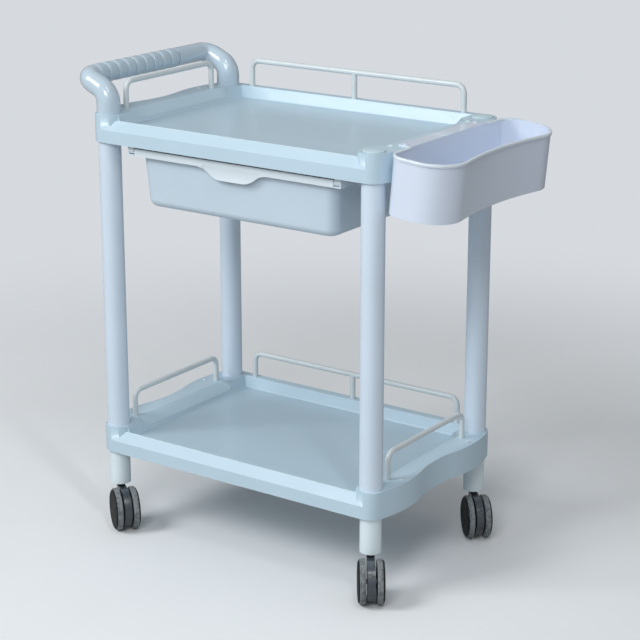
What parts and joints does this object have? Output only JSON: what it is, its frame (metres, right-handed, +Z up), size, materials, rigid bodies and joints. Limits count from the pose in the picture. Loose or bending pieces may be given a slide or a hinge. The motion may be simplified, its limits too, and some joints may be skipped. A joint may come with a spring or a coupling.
{
  "type": "instrument cart",
  "caption": "two-shelf moulded clinic cart with a drawer under the upper tray, a side bin, a bent push handle with a ribbed grip, rod guard rails and twin-wheel casters",
  "frame": {"origin": "on the floor, under the middle of the bounding box", "axes": "X along the long front with the bin at +X and the handle at -X, the drawer front faces -Y, Z up"},
  "size_m": [0.7731, 0.4788, 0.8505],
  "materials": {
    "tray_plastic": "satin moulded pale blue-grey",
    "post_plastic": "satin extruded pale lavender grey",
    "leg_plastic": "satin pale grey",
    "cap_plastic": "satin pale grey-green",
    "handle_plastic": "glossy light grey-blue",
    "grip_plastic": "satin-gloss light grey-blue",
    "rail_coating": "cream white powder coat",
    "drawer_cream": "satin cream white",
    "drawer_grey": "satin light grey",
    "bin_plastic": "satin lavender white",
    "screw_steel": "plated steel",
    "axle_steel": "plain steel",
    "stem_black": "blackened steel",
    "hood_plastic": "satin charcoal",
    "hub_plastic": "satin black",
    "tyre_rubber": "worn mid-grey rubber"
  },
  "bodies": {
    "cart_frame": {"upper_tray": "tray_plastic", "lower_tray": "tray_plastic", "post_front_left": "post_plastic", "post_front_right": "post_plastic", "post_rear_left": "post_plastic", "post_rear_right": "post_plastic", "leg_front_left": "leg_plastic", "leg_front_right": "leg_plastic", "leg_rear_left": "leg_plastic", "leg_rear_right": "leg_plastic", "post_cap_front": "cap_plastic", "post_cap_rear": "cap_plastic", "rail_hole_plugs": "cap_plastic", "handle_elbow_front": "handle_plastic", "handle_elbow_rear": "handle_plastic", "handle_grip": "grip_plastic", "upper_back_rail": "rail_coating", "upper_left_rail": "rail_coating", "lower_back_rail": "rail_coating", "lower_left_rail": "rail_coating", "lower_right_rail": "rail_coating", "drawer_runner_left": "drawer_cream", "drawer_runner_right": "drawer_cream", "runner_screws": "screw_steel", "side_bin": "bin_plastic", "ledge_screws": "screw_steel", "caster_stems": "stem_black"},
    "drawer": {"drawer_tub": "drawer_grey", "drawer_front": "drawer_cream", "drawer_front_screws": "screw_steel"},
    "caster_front_left": {"hood_front_left": "hood_plastic", "axle_front_left": "axle_steel"},
    "inner_wheel_front_left": {"inner_hub_front_left": "hub_plastic", "inner_tyre_front_left": "tyre_rubber"},
    "outer_wheel_front_left": {"outer_hub_front_left": "hub_plastic", "outer_tyre_front_left": "tyre_rubber"},
    "caster_front_right": {"hood_front_right": "hood_plastic", "axle_front_right": "axle_steel"},
    "inner_wheel_front_right": {"inner_hub_front_right": "hub_plastic", "inner_tyre_front_right": "tyre_rubber"},
    "outer_wheel_front_right": {"outer_hub_front_right": "hub_plastic", "outer_tyre_front_right": "tyre_rubber"},
    "caster_rear_left": {"hood_rear_left": "hood_plastic", "axle_rear_left": "axle_steel"},
    "inner_wheel_rear_left": {"inner_hub_rear_left": "hub_plastic", "inner_tyre_rear_left": "tyre_rubber"},
    "outer_wheel_rear_left": {"outer_hub_rear_left": "hub_plastic", "outer_tyre_rear_left": "tyre_rubber"},
    "caster_rear_right": {"hood_rear_right": "hood_plastic", "axle_rear_right": "axle_steel"},
    "inner_wheel_rear_right": {"inner_hub_rear_right": "hub_plastic", "inner_tyre_rear_right": "tyre_rubber"},
    "outer_wheel_rear_right": {"outer_hub_rear_right": "hub_plastic", "outer_tyre_rear_right": "tyre_rubber"}
  },
  "joints": [
    {"name": "drawer_slide", "type": "slide", "parent": "cart_frame", "child": "drawer", "axis": [0, -1, 0], "range_m": [0, 0.26]},
    {"name": "swivel_front_left", "type": "hinge", "parent": "cart_frame", "child": "caster_front_left", "pos_m": [-0.31711, -0.17125, 0.05975], "axis": [0, 0, 1], "continuous": true},
    {"name": "inner_wheel_spin_front_left", "type": "hinge", "parent": "caster_front_left", "child": "inner_wheel_front_left", "pos_m": [-0.30211, -0.20403, 0.039], "axis": [0.6157, 0.788, 0], "continuous": true},
    {"name": "outer_wheel_spin_front_left", "type": "hinge", "parent": "caster_front_left", "child": "outer_wheel_front_left", "pos_m": [-0.28167, -0.17787, 0.039], "axis": [0.6157, 0.788, 0], "continuous": true},
    {"name": "swivel_front_right", "type": "hinge", "parent": "cart_frame", "child": "caster_front_right", "pos_m": [0.23839, -0.17125, 0.05975], "axis": [0, 0, 1], "continuous": true},
    {"name": "inner_wheel_spin_front_right", "type": "hinge", "parent": "caster_front_right", "child": "inner_wheel_front_right", "pos_m": [0.24377, -0.2069, 0.039], "axis": [0.809, 0.5878, 0], "continuous": true},
    {"name": "outer_wheel_spin_front_right", "type": "hinge", "parent": "caster_front_right", "child": "outer_wheel_front_right", "pos_m": [0.27063, -0.18738, 0.039], "axis": [0.809, 0.5878, 0], "continuous": true},
    {"name": "swivel_rear_left", "type": "hinge", "parent": "cart_frame", "child": "caster_rear_left", "pos_m": [-0.31711, 0.17125, 0.05975], "axis": [0, 0, 1], "continuous": true},
    {"name": "inner_wheel_spin_rear_left", "type": "hinge", "parent": "caster_rear_left", "child": "inner_wheel_rear_left", "pos_m": [-0.28487, 0.18738, 0.039], "axis": [-0.809, 0.5878, 0], "continuous": true},
    {"name": "outer_wheel_spin_rear_left", "type": "hinge", "parent": "caster_rear_left", "child": "outer_wheel_rear_left", "pos_m": [-0.31173, 0.2069, 0.039], "axis": [-0.809, 0.5878, 0], "continuous": true},
    {"name": "swivel_rear_right", "type": "hinge", "parent": "cart_frame", "child": "caster_rear_right", "pos_m": [0.23839, 0.17125, 0.05975], "axis": [0, 0, 1], "continuous": true},
    {"name": "inner_wheel_spin_rear_right", "type": "hinge", "parent": "caster_rear_right", "child": "inner_wheel_rear_right", "pos_m": [0.24807, 0.13653, 0.039], "axis": [0.7314, 0.682, 0], "continuous": true},
    {"name": "outer_wheel_spin_rear_right", "type": "hinge", "parent": "caster_rear_right", "child": "outer_wheel_rear_right", "pos_m": [0.27235, 0.15917, 0.039], "axis": [0.7314, 0.682, 0], "continuous": true}
  ]
}
